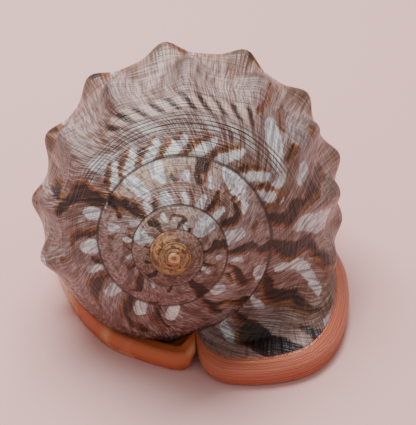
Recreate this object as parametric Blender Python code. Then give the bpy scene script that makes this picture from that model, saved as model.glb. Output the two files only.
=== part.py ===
"""Bullmouth helmet shell lying on its lip and shield, with the spire towards -Y.

The shell grows as one strip that winds clockwise round its axis, seen from the apex. Every point of
the strip has a growth angle, which rises towards the lip, and a row, which runs from the suture over
the ramp and the shoulder down to the front canal. The last turn flares into the outer lip on the
right and runs out into the glazed shield on the left. Rings carry both round their edges, over the
underside with its teeth, and into the hollow.

Lengths are in millimetres and angles in degrees until the mesh is made.
"""

import math

import bmesh
import bpy
import numpy as np

MM = 0.001
UP = np.array([0.0, 0.0, 1.0])

# How the shell lies: the apex above the table, and the axis falling away from it
APEX_HEIGHT = 62.0
AXIS_FALL = 18.5
AXIS_LENGTH = 147.0

# The suture is a spiral on a low dome
NOTCH_ANGLE = 348.5
SUTURE_RADIUS = 45.6
SUTURE_GROWTH = 0.107
SUTURE_SPEEDING = 0.0006
SPIRE_SLOPE = 0.41
SPIRE_DOME = 0.0080
SPIRE_TURNS = 4

# The shoulder of the last turn: how much its radius has grown at each angle, and how it sinks
SHOULDER_GROWTH = (
    (-11.5, 0), (-5, 2), (8, 4.8), (30, 5.8), (55, 6.3), (80, 5.9), (105, 5.6), (130, 8.2), (160, 12.8),
    (187, 16.8), (217, 20.6), (241, 22.4), (266, 23.8), (300, 26), (343, 28),
)
SHOULDER_SINKING = (0.085, 5.0e-5)

# Columns follow the growth angle, rows run from the suture to the canal
TURN_COLUMNS = 54
RAMP_ROWS = 5
SIDE_ROWS = 32
SHIELD_COLUMNS = 3
FLARE_COLUMNS = 4
COLUMN_STEP = 360.0 / TURN_COLUMNS
FREE_COLUMNS = 14
FREE_LEFT = NOTCH_ANGLE - 360.0 + FREE_COLUMNS * COLUMN_STEP
FREE_RIGHT = NOTCH_ANGLE - FREE_COLUMNS * COLUMN_STEP
CREVICE_ANGLE = 62.0
FLARE_ANGLE = 291.0

# Blunt knobs: their angles on the shoulder, and for each row how far down the side it lies, its height
# and its half width
KNOB_ANGLES = (76, 103, 131, 159, 188, 216, 241, 265, 284)
KNOB_LAG = -7.5
KNOB_ROWS = ((0.0, 6.2, 6.4), (0.20, 5.4, 6.4), (0.41, 3.6, 5.6), (0.61, 2.2, 5.0))
SHOULDER_ROUNDING = 2.2

# The underside. The tops of its edges are given by how far out and how high they lie. Each step after
# them has the same two numbers, then how far it lies towards the mouth and how far down on the table.
LIP_POINTS = 44
SHIELD_POINTS = 40
CANAL_POINTS = 8
TOOTH_HEIGHT = 1.6
FOLD_HEIGHT = 0.8
LIP_TOP = (-4.8, 4.6)
SHIELD_TOP = (-3.8, 3.4)
EDGE_STEPS = (
    (-1.4, 3.5, 0.0, 0.0), (0.6, 1.1, 0.0, 0.0), (0.5, -2.0, 0.0, 0.0), (-2.4, -4.0, 0.0, 1.0),
    (-3.0, -4.0, 0.42, 1.0), (-3.0, -3.0, 0.78, 0.62), (-3.0, 0.0, 1.0, 0.0),
)
HOLLOW_RINGS = ((1.5, 2.5, 2.5), (29.0, 7.0, 3.5), (38.0, 28.0, 4.0), (34.0, 54.0, 4.5), (14.0, 72.0, 5.0))
SHOULDER_ON_LIP = 0.43
CORNER_LENGTH = 0.055
CREVICE_COLUMNS = 5
CORNER_ON_SHIELD = 0.30

# Edges and inner lines of the underside, from the notch to the canal, below the apex
NOTCH_TIP = (8.7, 18.0, 11.4)
LIP_EDGE = (
    NOTCH_TIP, (8.8, 12, 8.8), (11.0, 3.4, 6), (17.5, -2.4, 5), (27.5, -4.3, 5), (38.5, -4, 5), (49, -1.6, 5),
    (57.5, 3.2, 5), (66, 13.5, 5), (72.3, 28.8, 5.2), (75.6, 45, 5.5), (75.7, 62, 6), (70, 86, 6),
    (58, 107, 7), (41, 124, 9), (26, 134, 14), (15, 141, 21),
)
SHIELD_EDGE = (
    NOTCH_TIP, (8.0, 12.4, 8.4), (6.8, 6.8, 5.8), (2.2, 5.2, 4.6), (-5, 7.6, 4.5), (-16, 13.4, 4.5),
    (-26, 20, 4.5), (-34, 30, 4.8), (-41, 42, 5.2), (-46, 55, 5.5), (-50, 68, 6), (-51.5, 82, 6.5),
    (-48, 98, 7), (-40, 114, 8), (-27, 128, 12), (-14, 139, 20),
)
TEETH_LINE = (
    (13, 25, 11), (17, 33, 8), (21, 48, 6.5), (21.5, 66, 6), (19, 85, 6), (14.5, 103, 7), (10, 118, 10),
    (7, 131, 16), (5.5, 141, 24),
)
FOLD_LINE = (
    (13, 25, 11), (10, 33, 8), (9, 48, 6), (8, 66, 6), (4, 85, 6), (0, 103, 7), (-4, 118, 10),
    (-5, 131, 16), (-5.5, 140, 24),
)


def smoothstep(x):
    x = np.clip(x, 0.0, 1.0)
    return x * x * (3.0 - 2.0 * x)


def along(points, share):
    """Points at these shares of the length of a smooth curve through the given points."""
    p = np.array(points, float)
    p = np.vstack([2 * p[0] - p[1], p, 2 * p[-1] - p[-2]])
    u = np.linspace(0, 1, 24, endpoint=False)[:, None]
    fine = [
        0.5 * (2 * b + (c - a) * u + (2 * a - 5 * b + 4 * c - d) * u**2 + (3 * b - a - 3 * c + d) * u**3)
        for a, b, c, d in zip(p, p[1:], p[2:], p[3:])
    ]
    fine = np.vstack(fine + [p[-2]])
    run = np.concatenate([[0], np.cumsum(np.linalg.norm(np.diff(fine, axis=0), axis=1))])
    return np.stack([np.interp(np.asarray(share) * run[-1], run, fine[:, i]) for i in range(3)], -1)


def through(points, x):
    """A smooth function of one variable through the given points."""
    px, py = np.array(points, float).T
    slope = np.gradient(py, px)
    x = np.clip(x, px[0], px[-1])
    i = np.clip(np.searchsorted(px, x, side="right") - 1, 0, len(px) - 2)
    wide = px[i + 1] - px[i]
    u = (x - px[i]) / wide
    start = (1 + 2 * u) * (1 - u) ** 2 * py[i] + u * (1 - u) ** 2 * wide * slope[i]
    end = u * u * (3 - 2 * u) * py[i + 1] + u * u * (u - 1) * wide * slope[i + 1]
    return start + end


def suture(angle):
    """Radius and height of the suture at a growth angle, the apex being at height 0."""
    d = np.radians(angle - 360.0)
    r = SUTURE_RADIUS * np.exp(SUTURE_GROWTH * d + SUTURE_SPEEDING * d * d)
    return r, -(SPIRE_SLOPE * r + SPIRE_DOME * r * r)


def shoulder(angle):
    """Radius and height of the shoulder. On the spire the next suture lies on it."""
    r0, z0 = suture(angle + 360.0)
    r1, z1 = suture(NOTCH_ANGLE)
    on = angle - NOTCH_ANGLE + 360.0
    r = r1 + through(SHOULDER_GROWTH, angle)
    z = z1 - SHOULDER_SINKING[0] * on - SHOULDER_SINKING[1] * on**2
    return np.where(on > 0, r, r0), np.where(on > 0, z, z0)


def side_share(row):
    """How far down the side a row lies."""
    return np.clip((row - RAMP_ROWS) / SIDE_ROWS, 0, 1) ** 1.2


def place(angle, r, z, lift=0.0):
    """Table coordinates of a point at a growth angle, radius and height about the axis."""
    a, fall = np.radians(angle), math.radians(AXIS_FALL)
    up = -np.cos(a) * r + lift
    return np.stack([
        -np.sin(a) * r,
        up * math.sin(fall) - z * math.cos(fall),
        APEX_HEIGHT + up * math.cos(fall) + z * math.sin(fall),
    ], -1)


def plain(angle, row):
    """The surface without knobs."""
    share = np.clip(row / RAMP_ROWS, 0, 1)
    t = side_share(row)
    r0, z0 = suture(angle)
    r1, z1 = shoulder(angle)
    bulge = 0.085 * np.sin(np.pi * share**0.8)
    r_ramp = r0 + share * (r1 - r0) - bulge * (z1 - z0)
    z_ramp = z0 + share * (z1 - z0) + bulge * (r1 - r0)
    belly = 1.0 + 0.065 * np.sin(np.pi * np.clip(t / 0.45, 0, 1))
    r_side = r1 * (1.0 - t**2.3) ** 0.74 * belly + 12.0 * t**3
    z_side = z1 + (-AXIS_LENGTH - z1) * t
    on_ramp = row <= RAMP_ROWS
    lift = 15.0 * smoothstep((t - 0.72) / 0.28)
    return place(angle, np.where(on_ramp, r_ramp, r_side), np.where(on_ramp, z_ramp, z_side), lift)


def body(angle, row):
    """The surface with its knobs, for arrays of angles and rows of the same shape."""
    p = plain(angle, row)
    round_it = plain(angle + 0.5, row) - plain(angle - 0.5, row)
    down_it = plain(angle, row + 0.05) - plain(angle, row - 0.05)
    out = np.cross(round_it, down_it)
    out /= np.maximum(np.linalg.norm(out, axis=-1, keepdims=True), 1e-9)
    axis = place(angle, 0.0 * row, shoulder(angle)[1] - 20.0)
    out = np.where(((p - axis) * out).sum(-1, keepdims=True) > 0, out, -out)
    r1, z1 = shoulder(angle)
    up_ramp = (row / RAMP_ROWS - 1.0) * (r1 - suture(angle)[0])
    down = np.where(row > RAMP_ROWS, side_share(row) * (AXIS_LENGTH + z1), up_ramp)
    height = -SHOULDER_ROUNDING * np.exp(-((down / 7.0) ** 2)) * smoothstep((angle - 20.0) / 40.0)
    for k, (t, rise, wide) in enumerate(KNOB_ROWS):
        level = down - t * (AXIS_LENGTH + z1)
        for knob in KNOB_ANGLES:
            off = np.radians(angle - knob - k * KNOB_LAG) * r1
            height += rise * np.exp(-((off / wide) ** 2) - (level / wide) ** 2)
    return p + out * height[..., None]


def bezier(a, b, c, d, u):
    return (1 - u) ** 3 * a + 3 * u * (1 - u) ** 2 * b + 3 * u**2 * (1 - u) * c + u**3 * d


def edge_frame(points, share, turn):
    """Edge points, level directions pointing out of the shell there, and how full the edge is."""
    p = along(points, share)
    d = along(points, np.minimum(share + 0.01, 1)) - along(points, np.maximum(share - 0.01, 0))
    n = np.stack([turn * d[:, 1], -turn * d[:, 0], 0 * d[:, 0]], -1)
    n /= np.linalg.norm(n, axis=1, keepdims=True)
    full = (0.15 + 0.85 * smoothstep(share / 0.09))[:, None]
    return p, n, full


def edge_top(points, share, turn, step):
    """The top of an edge, and the direction out of the shell there."""
    p, n, full = edge_frame(points, np.array([share]), turn)
    return p + full * step[0] * n + full * step[1] * UP, n


def row_shares(row):
    """How far a row has turned the corner below the notch, and its shares of the lip and the shield."""
    t = float(side_share(row))
    corner = 1.0 - math.exp(-t / CORNER_LENGTH)
    lip = SHOULDER_ON_LIP * min(row / RAMP_ROWS, 1.0) + (1 - SHOULDER_ON_LIP) * t
    shield = CORNER_ON_SHIELD * corner + (1 - CORNER_ON_SHIELD) * t
    return corner, lip, shield


def last_turn(row):
    """A row of the last turn, from the top of the shield's edge to the top of the lip's edge."""
    corner, lip_share, shield_share = row_shares(row)
    angles = NOTCH_ANGLE - 360.0 + COLUMN_STEP * np.arange(TURN_COLUMNS + 1)
    middle = angles[FREE_COLUMNS:TURN_COLUMNS - FREE_COLUMNS + 1]

    # The shield's flange runs from its edge to the crevice, and the body on from there
    start = angles[0] + (CREVICE_ANGLE - angles[0]) * corner
    count = SHIELD_COLUMNS + FREE_COLUMNS
    used = SHIELD_COLUMNS + CREVICE_COLUMNS * corner
    q = np.arange(count)
    top, n = edge_top(SHIELD_EDGE, shield_share, -1, SHIELD_TOP)
    foot = body(np.array([start]), np.array([float(row)]))
    reach = np.linalg.norm(foot - top) * (corner > 0)
    pull = foot - 0.30 * reach * UP + 0.10 * reach * n
    if corner == 0.0:
        top = foot
    flange = bezier(top, top - 0.45 * reach * n, pull, foot, np.clip(q / used, 0, 1)[:, None])
    angle = start + (FREE_LEFT - start) * np.clip((q - used) / (count - used), 0, 1)
    left = np.where((q >= used)[:, None], body(angle, np.full(count, float(row))), flange)

    # The body flares towards the lip
    ramp = min(row / RAMP_ROWS, 1.0)
    count = FLARE_COLUMNS + FREE_COLUMNS
    q = np.arange(1, count + 1)
    end = NOTCH_ANGLE + (FLARE_ANGLE - NOTCH_ANGLE) * smoothstep(ramp) ** 0.7
    angle = FREE_RIGHT + (end - FREE_RIGHT) * np.minimum(q / FREE_COLUMNS, 1.0)
    weight = (q / count) ** (2.3 + 1.4 * (1 - ramp)) * (row > 0)
    foot = body(angle, np.full(count, float(row)))
    right = foot + (edge_top(LIP_EDGE, lip_share, 1, LIP_TOP)[0] - foot) * weight[:, None]
    return np.vstack([left, body(middle, np.full(len(middle), float(row))), right])


def ring_points():
    """Rings of the underside, from the outside of the edges to the roof of the hollow."""
    s_lip = np.linspace(0, 1, LIP_POINTS + 1)
    s_shield = np.linspace(0, 1, SHIELD_POINTS + 1)
    lip, n_lip, full_lip = edge_frame(LIP_EDGE, s_lip, 1)
    shield, n_shield, full_shield = edge_frame(SHIELD_EDGE, s_shield, -1)
    teeth = along(TEETH_LINE, s_lip)
    folds = along(FOLD_LINE, s_shield)
    mid_lip, mid_shield = np.sin(np.pi * s_lip), np.sin(np.pi * s_shield)
    teeth[:, 0] -= TOOTH_HEIGHT * (np.arange(LIP_POINTS + 1) % 2) * smoothstep(mid_lip * 4)
    folds[:, 0] += FOLD_HEIGHT * (np.arange(SHIELD_POINTS + 1) % 2) * smoothstep(mid_shield * 4)
    notch = np.array(NOTCH_TIP)
    canal_outer = place(np.linspace(FLARE_ANGLE, CREVICE_ANGLE, CANAL_POINTS + 1), 12.0, -AXIS_LENGTH, 15.0)
    inner_arc = place(np.linspace(250.0, 110.0, CANAL_POINTS + 1), 5.5, -AXIS_LENGTH + 0.5, 14.0)

    def face(edge, n, full, line, share, step):
        """One side of a ring, moved from its edge towards the mouth and pressed down on the table."""
        out, height, weight, sink = step
        p = edge + full * out * n + full * height * UP
        q = p * (1 - weight) + line * weight
        q[:, 2] *= 1 - sink * smoothstep(share / 0.12) * smoothstep((1 - share) / 0.25)
        return q

    rings = []
    for k, step in enumerate(EDGE_STEPS):
        a = face(lip, n_lip, full_lip, teeth, s_lip, step)
        b = face(shield, n_shield, full_shield, folds, s_shield, step)
        a[0] = b[0] = notch + (k + 1) * np.array([0.0, 0.9, 0.05])
        share = (k + 1) / len(EDGE_STEPS)
        c = canal_outer * (1 - share) + inner_arc * share
        rings.append(np.vstack([a, c[1:-1], b[:0:-1]]))

    slot = rings[-1]
    s_all = np.concatenate([s_lip, np.ones(CANAL_POINTS - 1), s_shield[:0:-1]])
    side = np.concatenate([np.ones(LIP_POINTS + 1), np.zeros(CANAL_POINTS - 1), -np.ones(SHIELD_POINTS)])
    swell = np.clip(np.sin(np.pi * s_all), 0, 1) ** 0.9
    for k, (wide, high, base) in enumerate(HOLLOW_RINGS):
        p = slot.copy()
        p[:, 0] += side * wide * swell
        p[:, 2] += base + high * swell
        p[:, 1] = 75 + (p[:, 1] - 75) * (1 - 0.045 * (k + 1))
        rings.append(p)
    return s_lip, s_shield, rings


def zip_rows(bm, a, a_share, b, b_share):
    """Triangles between two rows of vertices that run side by side."""
    i = j = 0
    while i < len(a) - 1 or j < len(b) - 1:
        a_left, b_left = i < len(a) - 1, j < len(b) - 1
        a_first = a_left and (not b_left or a_share[i + 1] + a_share[i] <= b_share[j + 1] + b_share[j])
        corners = [a[i], a[i + 1], b[j]] if a_first else [a[i], b[j + 1], b[j]]
        if len(set(corners)) == 3:
            bm.faces.new(corners)
        i, j = (i + 1, j) if a_first else (i, j + 1)


def shell_mesh():
    bm = bmesh.new()
    turns = SPIRE_TURNS * TURN_COLUMNS
    first = NOTCH_ANGLE - 360.0 * (SPIRE_TURNS + 1)

    # The ramp of the spire
    angles = first + COLUMN_STEP * np.arange(turns + 1)
    spire = []
    for row in range(RAMP_ROWS + 1):
        spire.append([bm.verts.new(p) for p in plain(angles, np.full(turns + 1, float(row)))])
    for lower, upper in zip(spire, spire[1:]):
        for i in range(turns):
            bm.faces.new((lower[i], lower[i + 1], upper[i + 1], upper[i]))

    # The last turn; above the shoulder its rows start at the notch
    total = RAMP_ROWS + SIDE_ROWS
    rows = [[bm.verts.new(p) for p in last_turn(row)] for row in range(total + 1)]
    _, lip_share, shield_share = zip(*(row_shares(row) for row in range(total + 1)))
    for j in range(total):
        skip = SHIELD_COLUMNS if j < RAMP_ROWS else 0
        for i in range(skip, len(rows[0]) - 1):
            bm.faces.new((rows[j][i], rows[j][i + 1], rows[j + 1][i + 1], rows[j + 1][i]))
    for j in range(RAMP_ROWS):
        for vertex in rows[j][:SHIELD_COLUMNS]:
            bm.verts.remove(vertex)

    # Rings of the underside and the hollow
    s_lip, s_shield, rings = ring_points()
    loops = [[bm.verts.new(p) for p in ring] for ring in rings]
    for a, b in zip(loops, loops[1:]):
        for i in range(len(a)):
            k = (i + 1) % len(a)
            bm.faces.new((a[i], a[k], b[k], b[i]))
    roof = loops[-1]
    canal_end = LIP_POINTS + CANAL_POINTS
    zip_rows(bm, roof[:LIP_POINTS + 1], s_lip, roof[:1] + roof[:canal_end - 1:-1], s_shield)
    bm.faces.new(roof[LIP_POINTS:canal_end + 1])

    # Join the outside to the first ring along the lip, round the canal and along the shield
    ring = loops[0]
    zip_rows(bm, [row[-1] for row in rows], lip_share, ring[:LIP_POINTS + 1], s_lip)
    canal = ring[LIP_POINTS:LIP_POINTS + CANAL_POINTS + 1]
    last = rows[-1][::-1]
    zip_rows(bm, last, np.linspace(0, 1, len(last)), canal, np.linspace(0, 1, len(canal)))
    shield = (ring[LIP_POINTS + CANAL_POINTS:] + ring[:1])[::-1]
    zip_rows(bm, [row[0] for row in rows[RAMP_ROWS:]], shield_share[RAMP_ROWS:], shield, s_shield)

    # The nucleus
    rim = spire[0][:TURN_COLUMNS + 1] + [spire[row][0] for row in range(RAMP_ROWS - 1, 0, -1)]
    tip = bm.verts.new(np.mean([v.co for v in rim], axis=0) + np.array([0.0, -0.6, 0.5]))
    for i in range(len(rim)):
        bm.faces.new((rim[i], rim[(i + 1) % len(rim)], tip))

    bmesh.ops.remove_doubles(bm, verts=bm.verts, dist=0.01)
    bmesh.ops.triangulate(bm, faces=[f for f in bm.faces if len(f.verts) > 3], quad_method="BEAUTY")
    bmesh.ops.recalc_face_normals(bm, faces=bm.faces)
    return bm


def main():
    for old in list(bpy.data.objects):
        bpy.data.objects.remove(old, do_unlink=True)
    bm = shell_mesh()
    points = np.array([v.co for v in bm.verts])
    low, high = points.min(axis=0), points.max(axis=0)
    to_origin = (-(low[0] + high[0]) / 2, -(low[1] + high[1]) / 2, -low[2])
    bmesh.ops.translate(bm, verts=bm.verts, vec=to_origin)
    bmesh.ops.scale(bm, verts=bm.verts, vec=(MM, MM, MM))
    mesh = bpy.data.meshes.new("helmet_shell")
    bm.to_mesh(mesh)
    bm.free()
    for polygon in mesh.polygons:
        polygon.use_smooth = True
    shell = bpy.data.objects.new("helmet_shell", mesh)
    bpy.context.collection.objects.link(shell)
    finish = bpy.data.materials.new("glazed shell")
    finish.use_nodes = True
    surface = finish.node_tree.nodes["Principled BSDF"]
    surface.inputs["Base Color"].default_value = (0.48, 0.33, 0.22, 1.0)
    surface.inputs["Roughness"].default_value = 0.35
    surface.inputs["Metallic"].default_value = 0.0
    mesh.materials.append(finish)


main()
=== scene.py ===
import math

import bpy
import numpy as np
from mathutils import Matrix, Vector


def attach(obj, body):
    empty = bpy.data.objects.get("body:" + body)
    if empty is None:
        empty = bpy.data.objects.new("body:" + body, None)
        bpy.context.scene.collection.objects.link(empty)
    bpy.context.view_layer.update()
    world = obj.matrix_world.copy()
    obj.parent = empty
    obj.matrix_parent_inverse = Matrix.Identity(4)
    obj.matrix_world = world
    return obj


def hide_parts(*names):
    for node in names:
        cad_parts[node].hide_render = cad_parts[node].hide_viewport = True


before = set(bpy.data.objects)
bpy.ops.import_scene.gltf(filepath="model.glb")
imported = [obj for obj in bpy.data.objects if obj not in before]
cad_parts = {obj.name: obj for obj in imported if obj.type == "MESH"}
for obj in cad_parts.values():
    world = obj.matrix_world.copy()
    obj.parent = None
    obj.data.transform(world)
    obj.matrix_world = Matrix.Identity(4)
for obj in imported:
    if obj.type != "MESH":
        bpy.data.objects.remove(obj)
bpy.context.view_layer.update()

MM = 0.001

# How the shell lies and grows: millimetres, with growth angles in degrees
APEX_HEIGHT = 62.0
AXIS_FALL = 18.5
AXIS_LENGTH = 147.0
NOTCH_ANGLE = 348.5
SUTURE_RADIUS = 45.6
SUTURE_GROWTH = 0.107
SUTURE_SPEEDING = 0.0006
SPIRE_SLOPE = 0.41
SPIRE_DOME = 0.0080
SPIRE_TURNS = 5
SHOULDER_GROWTH = (
    (-11.5, 0), (-5, 2), (8, 4.8), (30, 5.8), (55, 6.3), (80, 5.9), (105, 5.6), (130, 8.2), (160, 12.8),
    (187, 16.8), (217, 20.6), (241, 22.4), (266, 23.8), (300, 26), (343, 28),
)
SHOULDER_SINKING = (0.085, 5.0e-5)
CREVICE_ANGLE = 62.0
FLARE_ANGLE = 291.0
KNOB_ANGLES = (76, 103, 131, 159, 188, 216, 241, 265, 284)
KNOB_LAG = -7.5
KNOB_ROWS = ((0.0, 6.2, 6.4), (0.20, 5.4, 6.4), (0.41, 3.6, 5.6), (0.61, 2.2, 5.0))
KNOB_FOLD = 1.7
FOLD_FADE = 0.15
RAMP_BULGE = 0.085
SIDE_BELLY = 0.065
CANAL_TUBE = 12.0
CANAL_LIFT = 15.0
CANAL_START = 0.72
SHOULDER_ROUNDING = 2.2
SHOULDER_ON_LIP = 0.43
CORNER_ON_SHIELD = 0.30
NOTCH_TIP = (8.7, 18.0, 11.4)
LIP_EDGE = (
    NOTCH_TIP, (8.8, 12, 8.8), (11.0, 3.4, 6), (17.5, -2.4, 5), (27.5, -4.3, 5), (38.5, -4, 5), (49, -1.6, 5),
    (57.5, 3.2, 5), (66, 13.5, 5), (72.3, 28.8, 5.2), (75.6, 45, 5.5), (75.7, 62, 6), (70, 86, 6),
    (58, 107, 7), (41, 124, 9), (26, 134, 14), (15, 141, 21),
)
SHIELD_EDGE = (
    NOTCH_TIP, (8.0, 12.4, 8.4), (6.8, 6.8, 5.8), (2.2, 5.2, 4.6), (-5, 7.6, 4.5), (-16, 13.4, 4.5),
    (-26, 20, 4.5), (-34, 30, 4.8), (-41, 42, 5.2), (-46, 55, 5.5), (-50, 68, 6), (-51.5, 82, 6.5),
    (-48, 98, 7), (-40, 114, 8), (-27, 128, 12), (-14, 139, 20),
)
TEETH_LINE = (
    (13, 25, 11), (17, 33, 8), (21, 48, 6.5), (21.5, 66, 6), (19, 85, 6), (14.5, 103, 7), (10, 118, 10),
    (7, 131, 16), (5.5, 141, 24),
)
FOLD_LINE = (
    (13, 25, 11), (10, 33, 8), (9, 48, 6), (8, 66, 6), (4, 85, 6), (0, 103, 7), (-4, 118, 10),
    (-5, 131, 16), (-5.5, 140, 24),
)
# Ridges beside the mouth: how many, how far they stand into it and how far down
TEETH = (22, 1.7, 1.3)
FOLDS = (20, 1.0, 0.8)
# How far each ring of the hollow lies outside the mouth, how much higher, and its least height
HOLLOW_RINGS = ((1.5, 2.5, 2.5), (29.0, 7.0, 3.5), (38.0, 28.0, 4.0), (34.0, 54.0, 4.5), (14.0, 72.0, 5.0))
CORNER_LENGTH = 0.055
UP = np.array([0.0, 0.0, 1.0])

# How finely each part of the surface is divided
TURN_COLUMNS = 216
COLUMN_STEP = 360.0 / TURN_COLUMNS
FREE_COLUMNS = 56
FREE_LEFT = NOTCH_ANGLE - 360.0 + FREE_COLUMNS * COLUMN_STEP
FREE_RIGHT = NOTCH_ANGLE - FREE_COLUMNS * COLUMN_STEP
RAMP_ROWS = 24
SIDE_ROWS = 100
SHIELD_COLUMNS = 10
FLARE_COLUMNS = 14
CREVICE_COLUMNS = 12
EDGE_RINGS = np.concatenate([np.linspace(0.25, 4.0, 16), np.linspace(4.2, 7.0, 15)])
CAVITY_RINGS = np.linspace(0.25, 5.0, 14)
ROOF_RINGS = (0.35, 0.7, 1.0)
NUCLEUS_RINGS = 7
WELD_DISTANCE = 0.00001
SPECK_LENGTH = 0.000001
TO_ORIGIN = np.array([-9.657, -71.471, 0.0])

# Colours of the finish, as the usual 0 to 255 numbers
LIGHT_LINE = (226, 208, 202)
DARK_LINE = (104, 72, 62)
BROWN_LINE = (112, 70, 50)
FINE_LINE = (72, 50, 46)
# Painted shade on one side of each knob
KNOB_SHADE = (100, 78, 66)
WHITE_PATCH = ((236, 236, 234), (176, 170, 174))
HATCH_FLECK = (205, 198, 194)
HATCH_LINE = (78, 56, 50)
DASH_PALE = (216, 190, 178)
DASH_DARK = (72, 46, 40)
GOLD_EDGE = ((164, 114, 72), (122, 74, 44))
DEEP_BROWN = ((92, 58, 45), (46, 29, 27))
NEAR_BLACK = (38, 28, 30)
TIP_DOT = (150, 84, 44)
# Painted shade in the crease of the sutures
SUTURE_SHADE = (56, 34, 28)
LIP_GLAZE = ((176, 78, 54), (212, 126, 92))
SHIELD_GLAZE = ((204, 104, 62), (232, 182, 130))
# Painted shade in the crevice between the shield and the body
SHIELD_CREVICE_SHADE = (88, 48, 34)
MOUTH_INSIDE = (232, 190, 152)
TOOTH = (240, 222, 194)
TOOTH_GAP = (92, 48, 32)
HATCH_STEP = 0.042
DASH_STEP = 0.041
DASH_SLANT = 0.10
BODY_GAMMA = 1.2
BODY_ROUGHNESS = 0.36
ENAMEL_SMOOTHING = 0.16
RELIEF_STRENGTH = 0.9
RELIEF_DEPTH = 0.0012

# The camera, the paper and the light, in metres and degrees
CAMERA_PLACE = (-0.014772, -0.369094, 0.299156)
CAMERA_TURN = (54.0, 0.0, -3.4)
CAMERA_LENS = 88.5
SENSOR_WIDTH = 36.0
FLOOR_SIZE = 6.0
PAPER_COLOUR = (0.80, 0.47, 0.44, 1.0)
PAPER_ROUGHNESS = 0.8
ROOM_COLOUR = (1.0, 0.98, 0.96, 1.0)
ROOM_STRENGTH = 0.48
KEY_PLACE = (-0.15, 0.35, 0.95)
KEY_TARGET = (0.0, 0.0, 0.04)
KEY_SIZE = (0.8, 0.5)
KEY_POWER = 17.0

# The underside: how far out of the edge, how high, how far towards the mouth and how far down on the
# table each ring lies, from the top of the edge to the mouth
LIP_TOP = (-4.8, 4.6)
SHIELD_TOP = (-3.8, 3.4)
EDGE_STEPS = (
    (-1.4, 3.5, 0.0, 0.0), (0.6, 1.1, 0.0, 0.0), (0.5, -2.0, 0.0, 0.0), (-2.4, -4.0, 0.0, 1.0),
    (-3.0, -4.0, 0.42, 1.0), (-3.0, -3.0, 0.78, 0.62), (-3.0, 0.0, 1.0, 0.0),
)
MOUTH_STEP = float(len(EDGE_STEPS))
# From which step on the points are spread evenly, and from which the ridges stand out
EVEN_START, EVEN_SPAN = 2.5, 3.0
RIDGE_START, RIDGE_SPAN = 4.5, 1.2
TABLE_GAP = 0.15
NOTCH_REACH = 0.012
NOTCH_STEP = np.array([0.0, 0.9, 0.05])
CANAL_BORE = 5.5
CANAL_BORE_LIFT = 14.0
CANAL_ARC = (250.0, -140.0)
# The share of half the loop that the two sides take up where they face each other
FACING_SHARE = 0.9
SLIDE_START, SLIDE_SPAN = 0.8, 4.2
RIDGE_FADE = 0.8
HOLLOW_CENTRE = 75.0
HOLLOW_NARROWING = 0.045
NUCLEUS_RISE = np.array([0.0, -0.5, 0.6])


def smoothstep(x):
    x = np.clip(x, 0.0, 1.0)
    return x * x * (3.0 - 2.0 * x)


def along(points, share):
    """Points at these shares of the length of a smooth curve through the given points."""
    p = np.array(points, float)
    p = np.vstack([2 * p[0] - p[1], p, 2 * p[-1] - p[-2]])
    u = np.linspace(0, 1, 48, endpoint=False)[:, None]
    fine = [
        0.5 * (2 * b + (c - a) * u + (2 * a - 5 * b + 4 * c - d) * u**2 + (3 * b - a - 3 * c + d) * u**3)
        for a, b, c, d in zip(p, p[1:], p[2:], p[3:])
    ]
    fine = np.vstack(fine + [p[-2]])
    run = np.concatenate([[0], np.cumsum(np.linalg.norm(np.diff(fine, axis=0), axis=1))])
    return np.stack([np.interp(np.asarray(share) * run[-1], run, fine[:, i]) for i in range(3)], -1)


def through(points, x):
    """A smooth function of one variable through the given points."""
    px, py = np.array(points, float).T
    slope = np.gradient(py, px)
    x = np.clip(x, px[0], px[-1])
    i = np.clip(np.searchsorted(px, x, side="right") - 1, 0, len(px) - 2)
    wide = px[i + 1] - px[i]
    u = (x - px[i]) / wide
    start = (1 + 2 * u) * (1 - u) ** 2 * py[i] + u * (1 - u) ** 2 * wide * slope[i]
    end = u * u * (3 - 2 * u) * py[i + 1] + u * u * (u - 1) * wide * slope[i + 1]
    return start + end


def suture(angle):
    """Radius and way along the axis of the seam between two turns."""
    d = np.radians(angle - 360.0)
    r = SUTURE_RADIUS * np.exp(SUTURE_GROWTH * d + SUTURE_SPEEDING * d * d)
    return r, -(SPIRE_SLOPE * r + SPIRE_DOME * r * r)


def shoulder(angle):
    """Radius and way along the axis of the shoulder; on earlier turns it is the next turn's suture."""
    r0, z0 = suture(angle + 360.0)
    r1, z1 = suture(NOTCH_ANGLE)
    on = angle - NOTCH_ANGLE + 360.0
    r = r1 + through(SHOULDER_GROWTH, angle)
    z = z1 - SHOULDER_SINKING[0] * on - SHOULDER_SINKING[1] * on**2
    return np.where(on > 0, r, r0), np.where(on > 0, z, z0)


def side_share(row):
    """How far down the side a row lies, with the rows closer together near the shoulder."""
    return np.clip(row - 1.0, 0, 1) ** 1.2


def place(angle, r, z, lift=0.0):
    """From growth angle, radius and way along the coiling axis to the shell as it lies."""
    a, fall = np.radians(angle), math.radians(AXIS_FALL)
    up = -np.cos(a) * r + lift
    return np.stack([
        -np.sin(a) * r,
        up * math.sin(fall) - z * math.cos(fall),
        APEX_HEIGHT + up * math.cos(fall) + z * math.sin(fall),
    ], -1)


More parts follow.
